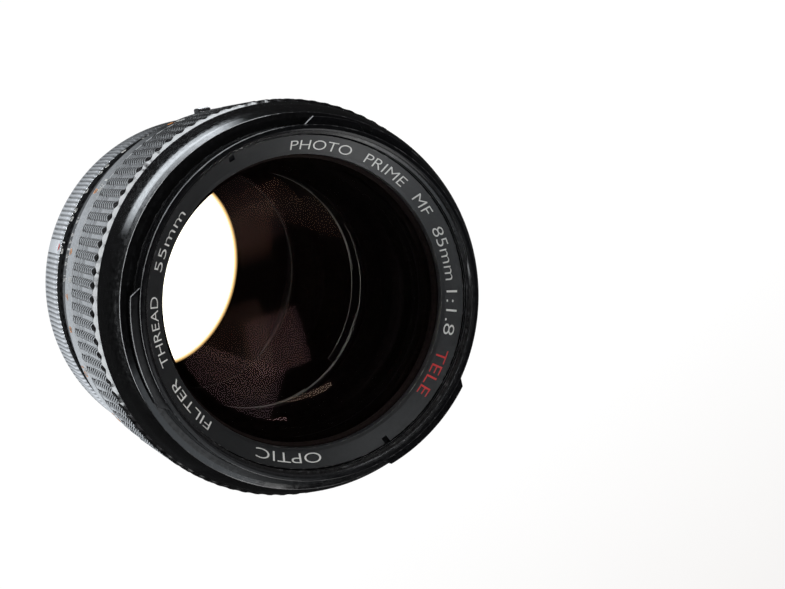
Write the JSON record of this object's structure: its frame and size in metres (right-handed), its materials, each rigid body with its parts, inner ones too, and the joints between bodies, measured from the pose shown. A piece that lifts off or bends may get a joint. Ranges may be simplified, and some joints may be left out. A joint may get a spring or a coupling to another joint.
{
  "type": "prime camera lens",
  "caption": "Short telephoto prime lens with focusing helicoid, rubber grip, click-stopped aperture ring, working iris and breech-lock mount.",
  "frame": {"origin": "centre of the camera mounting flange, on the optical axis", "axes": "+Z along the optical axis towards the subject, +Y towards the index mark"},
  "size_m": [0.0666, 0.0666, 0.066],
  "materials": {
    "black_anodised": "satin black anodised",
    "black_rubber": "matt moulded rubber",
    "silver_metal": "bright satin",
    "mount_steel": "turned",
    "black_lacquer": "matt black",
    "coated_glass": "polished, anti-reflection coated",
    "iris_steel": "blackened spring steel",
    "brass": "turned",
    "red_enamel": "gloss enamel",
    "screw_steel": "plain"
  },
  "bodies": {
    "fixed_barrel": {"mount_plate": "mount_steel", "mount_screws": "screw_steel", "fixed_barrel": "black_anodised", "guide_keys": "brass", "index_ring": "black_anodised", "index_ring_screws": "screw_steel", "rear_guard": "black_lacquer", "click_ball": "screw_steel", "click_spring": "mount_steel", "click_spring_screw": "screw_steel"},
    "optical_unit": {"front_barrel": "black_anodised", "front_sleeve": "black_anodised", "name_ring": "black_lacquer", "front_retainer": "black_lacquer", "front_cell": "black_lacquer", "front_spacer": "black_lacquer", "sliding_barrel": "brass", "lens_1": "coated_glass", "lens_2": "coated_glass", "lens_3": "coated_glass", "iris_cover": "black_lacquer", "iris_housing": "black_anodised", "rear_group_ring": "black_lacquer", "lens_4": "coated_glass", "lens_5": "coated_glass", "lens_6": "coated_glass", "rear_cell": "black_anodised", "rear_cell_screws": "screw_steel", "rear_spacer": "black_lacquer", "rear_retainer": "black_lacquer"},
    "focus_ring": {"focus_ring": "black_anodised", "focus_ring_screws": "screw_steel", "helicoid_sleeve": "brass", "focus_grip": "black_rubber"},
    "aperture_ring": {"aperture_ring": "black_anodised", "signal_lever": "mount_steel"},
    "lock_button": {"lock_button": "silver_metal"},
    "stop_down_ring": {"stop_down_ring": "mount_steel"},
    "iris_drive_ring": {"iris_drive_ring": "mount_steel"},
    "breech_ring": {"breech_ring": "silver_metal", "breech_index_dot": "red_enamel", "breech_claw_ring": "mount_steel"},
    "iris_blade_1": {"iris_blade_1": "iris_steel"},
    "iris_blade_2": {"iris_blade_2": "iris_steel"},
    "iris_blade_3": {"iris_blade_3": "iris_steel"},
    "iris_blade_4": {"iris_blade_4": "iris_steel"},
    "iris_blade_5": {"iris_blade_5": "iris_steel"},
    "iris_blade_6": {"iris_blade_6": "iris_steel"},
    "iris_blade_7": {"iris_blade_7": "iris_steel"},
    "iris_blade_8": {"iris_blade_8": "iris_steel"}
  },
  "joints": [
    {"name": "focus_slide", "type": "slide", "parent": "fixed_barrel", "child": "optical_unit", "axis": [0, 0, 1], "range_m": [-0.0044, 0.0056]},
    {"name": "focus_turn", "type": "hinge", "parent": "optical_unit", "child": "focus_ring", "pos_m": [0, 0, 0], "axis": [0, 0, 1], "range_deg": [-88, 112]},
    {"name": "aperture_turn", "type": "hinge", "parent": "fixed_barrel", "child": "aperture_ring", "pos_m": [0, 0, 0], "axis": [0, 0, 1], "range_deg": [0, 56.5]},
    {"name": "lock_press", "type": "slide", "parent": "aperture_ring", "child": "lock_button", "axis": [-0.9272, -0.3746, 0], "range_m": [0, 0.0006], "stiffness_N_per_m": 300},
    {"name": "stop_down_turn", "type": "hinge", "parent": "fixed_barrel", "child": "stop_down_ring", "pos_m": [0, 0, 0], "axis": [0, 0, 1], "range_deg": [0, 28.25]},
    {"name": "iris_drive_turn", "type": "hinge", "parent": "optical_unit", "child": "iris_drive_ring", "pos_m": [0, 0, 0], "axis": [0, 0, 1], "range_deg": [0, 28.25]},
    {"name": "breech_turn", "type": "hinge", "parent": "fixed_barrel", "child": "breech_ring", "pos_m": [0, 0, 0], "axis": [0, 0, 1], "range_deg": [0, 60]},
    {"name": "blade_1_turn", "type": "hinge", "parent": "optical_unit", "child": "iris_blade_1", "pos_m": [0.0216, 0, 0.028], "axis": [0, 0, 1], "range_deg": [-31.4, 0]},
    {"name": "blade_2_turn", "type": "hinge", "parent": "optical_unit", "child": "iris_blade_2", "pos_m": [0.01527, 0.01527, 0.028], "axis": [0, 0, 1], "range_deg": [-31.4, 0]},
    {"name": "blade_3_turn", "type": "hinge", "parent": "optical_unit", "child": "iris_blade_3", "pos_m": [0, 0.0216, 0.028], "axis": [0, 0, 1], "range_deg": [-31.4, 0]},
    {"name": "blade_4_turn", "type": "hinge", "parent": "optical_unit", "child": "iris_blade_4", "pos_m": [-0.01527, 0.01527, 0.028], "axis": [0, 0, 1], "range_deg": [-31.4, 0]},
    {"name": "blade_5_turn", "type": "hinge", "parent": "optical_unit", "child": "iris_blade_5", "pos_m": [-0.0216, 0, 0.028], "axis": [0, 0, 1], "range_deg": [-31.4, 0]},
    {"name": "blade_6_turn", "type": "hinge", "parent": "optical_unit", "child": "iris_blade_6", "pos_m": [-0.01527, -0.01527, 0.028], "axis": [0, 0, 1], "range_deg": [-31.4, 0]},
    {"name": "blade_7_turn", "type": "hinge", "parent": "optical_unit", "child": "iris_blade_7", "pos_m": [0, -0.0216, 0.028], "axis": [0, 0, 1], "range_deg": [-31.4, 0]},
    {"name": "blade_8_turn", "type": "hinge", "parent": "optical_unit", "child": "iris_blade_8", "pos_m": [0.01527, -0.01527, 0.028], "axis": [0, 0, 1], "range_deg": [-31.4, 0]}
  ],
  "couplings": [
    {"joint": "focus_slide", "follows": "focus_turn", "m_per_rad": 0.0028648},
    {"joint": "stop_down_turn", "follows": "aperture_turn", "ratio": 0.5},
    {"joint": "iris_drive_turn", "follows": "aperture_turn", "ratio": 0.5},
    {"joint": "blade_1_turn", "follows": "aperture_turn", "ratio": -0.55575},
    {"joint": "blade_2_turn", "follows": "aperture_turn", "ratio": -0.55575},
    {"joint": "blade_3_turn", "follows": "aperture_turn", "ratio": -0.55575},
    {"joint": "blade_4_turn", "follows": "aperture_turn", "ratio": -0.55575},
    {"joint": "blade_5_turn", "follows": "aperture_turn", "ratio": -0.55575},
    {"joint": "blade_6_turn", "follows": "aperture_turn", "ratio": -0.55575},
    {"joint": "blade_7_turn", "follows": "aperture_turn", "ratio": -0.55575},
    {"joint": "blade_8_turn", "follows": "aperture_turn", "ratio": -0.55575}
  ]
}
